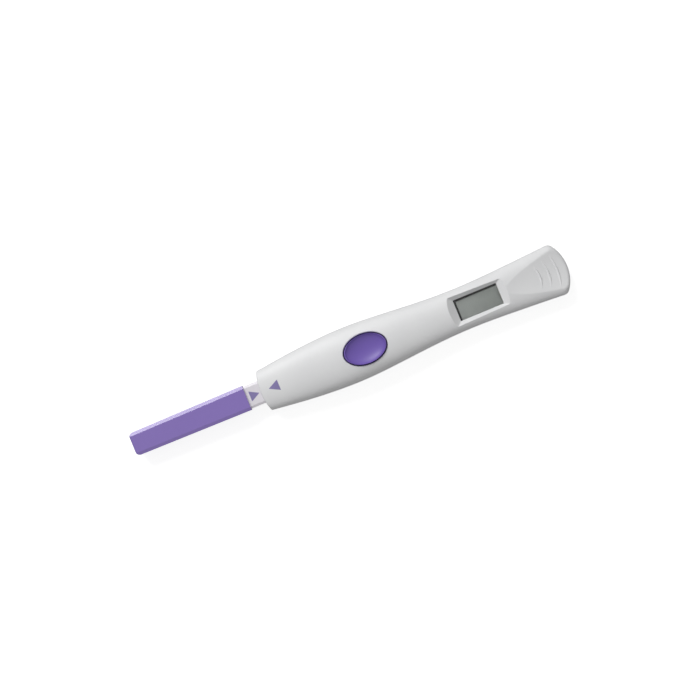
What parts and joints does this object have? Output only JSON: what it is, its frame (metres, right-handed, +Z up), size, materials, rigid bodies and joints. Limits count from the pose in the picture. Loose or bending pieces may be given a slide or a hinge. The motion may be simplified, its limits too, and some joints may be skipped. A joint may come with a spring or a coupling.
{
  "type": "digital ovulation test",
  "caption": "Handheld digital test reader with a window display, oval eject button and ribbed thumb grip, holding a capped absorbent test stick in its nose.",
  "frame": {"origin": "on the flat underside of the rear casing, midway along the holder and on its middle plane", "axes": "+X along the holder from the test stick toward the thumb grip, +Z up out of the display side, +Y across the holder"},
  "size_m": [0.1772, 0.0216, 0.014],
  "materials": {
    "casing_white": "white ABS with a fine satin surface",
    "button_purple": "purple satin plastic; the printed arrows have this colour too",
    "cap_purple": "purple satin plastic",
    "stick_white": "white polystyrene with a satin surface",
    "slide_white": "natural acetal",
    "window_clear": "clear acrylic",
    "lcd_film": "grey-green polarising film",
    "lcd_glass": "thin display glass",
    "lcd_reflector": "diffuse grey reflecting film",
    "frame_black": "black plastic",
    "gasket_black": "black foam",
    "zebra_rubber": "layered conductive rubber",
    "board_green": "solder mask on glass laminate",
    "chip_resin": "black potting resin",
    "component_ceramic": "tan chip ceramic",
    "led_resin": "pale clear resin",
    "photodiode_resin": "dark clear resin",
    "spring_steel": "drawn steel wire",
    "contact_steel": "nickel-plated strip",
    "cell_steel": "nickel-plated can",
    "wick_fibre": "bonded white fibre",
    "pad_fibre": "glass fibre pad",
    "membrane_white": "white membrane on a plastic backing"
  },
  "bodies": {
    "holder": {"front_casing": "casing_white", "rear_casing": "casing_white", "button_spring": "spring_steel", "circuit_board": "board_green", "reader_housing": "frame_black", "reader_leds": "led_resin", "reader_photodiodes": "photodiode_resin", "controller_chip": "chip_resin", "surface_components": "component_ceramic", "stick_switch": "frame_black", "display_window": "window_clear", "display_gasket": "gasket_black", "lcd_front_polariser": "lcd_film", "lcd_front_glass": "lcd_glass", "lcd_rear_glass": "lcd_glass", "lcd_reflector": "lcd_reflector", "display_frame": "frame_black", "zebra_connector": "zebra_rubber", "battery_cell": "cell_steel", "battery_contact_bottom": "contact_steel", "battery_contact_top": "contact_steel"},
    "button": {"eject_button": "button_purple"},
    "ejector": {"ejector_slide": "slide_white"},
    "stick": {"stick_top_shell": "stick_white", "stick_bottom_shell": "stick_white", "absorbent_wick": "wick_fibre", "membrane_strip": "membrane_white", "conjugate_pad": "pad_fibre", "sink_pad": "pad_fibre"},
    "cap": {"tip_cap": "cap_purple"}
  },
  "joints": [
    {"name": "button_press", "type": "slide", "parent": "holder", "child": "button", "axis": [0, 0, -1], "range_m": [0, 0.002], "stiffness_N_per_m": 400, "springref_m": -0.002, "deforming": ["button_spring"]},
    {"name": "ejector_move", "type": "slide", "parent": "holder", "child": "ejector", "axis": [-1, 0, 0], "range_m": [0, 0.003]},
    {"name": "stick_pull", "type": "slide", "parent": "ejector", "child": "stick", "axis": [-1, 0, 0], "range_m": [0, 0.04]},
    {"name": "cap_pull", "type": "slide", "parent": "stick", "child": "cap", "axis": [-1, 0, 0], "range_m": [0, 0.05]}
  ],
  "couplings": [
    {"joint": "button_press", "follows": "ejector_move", "ratio": 0.6666}
  ]
}
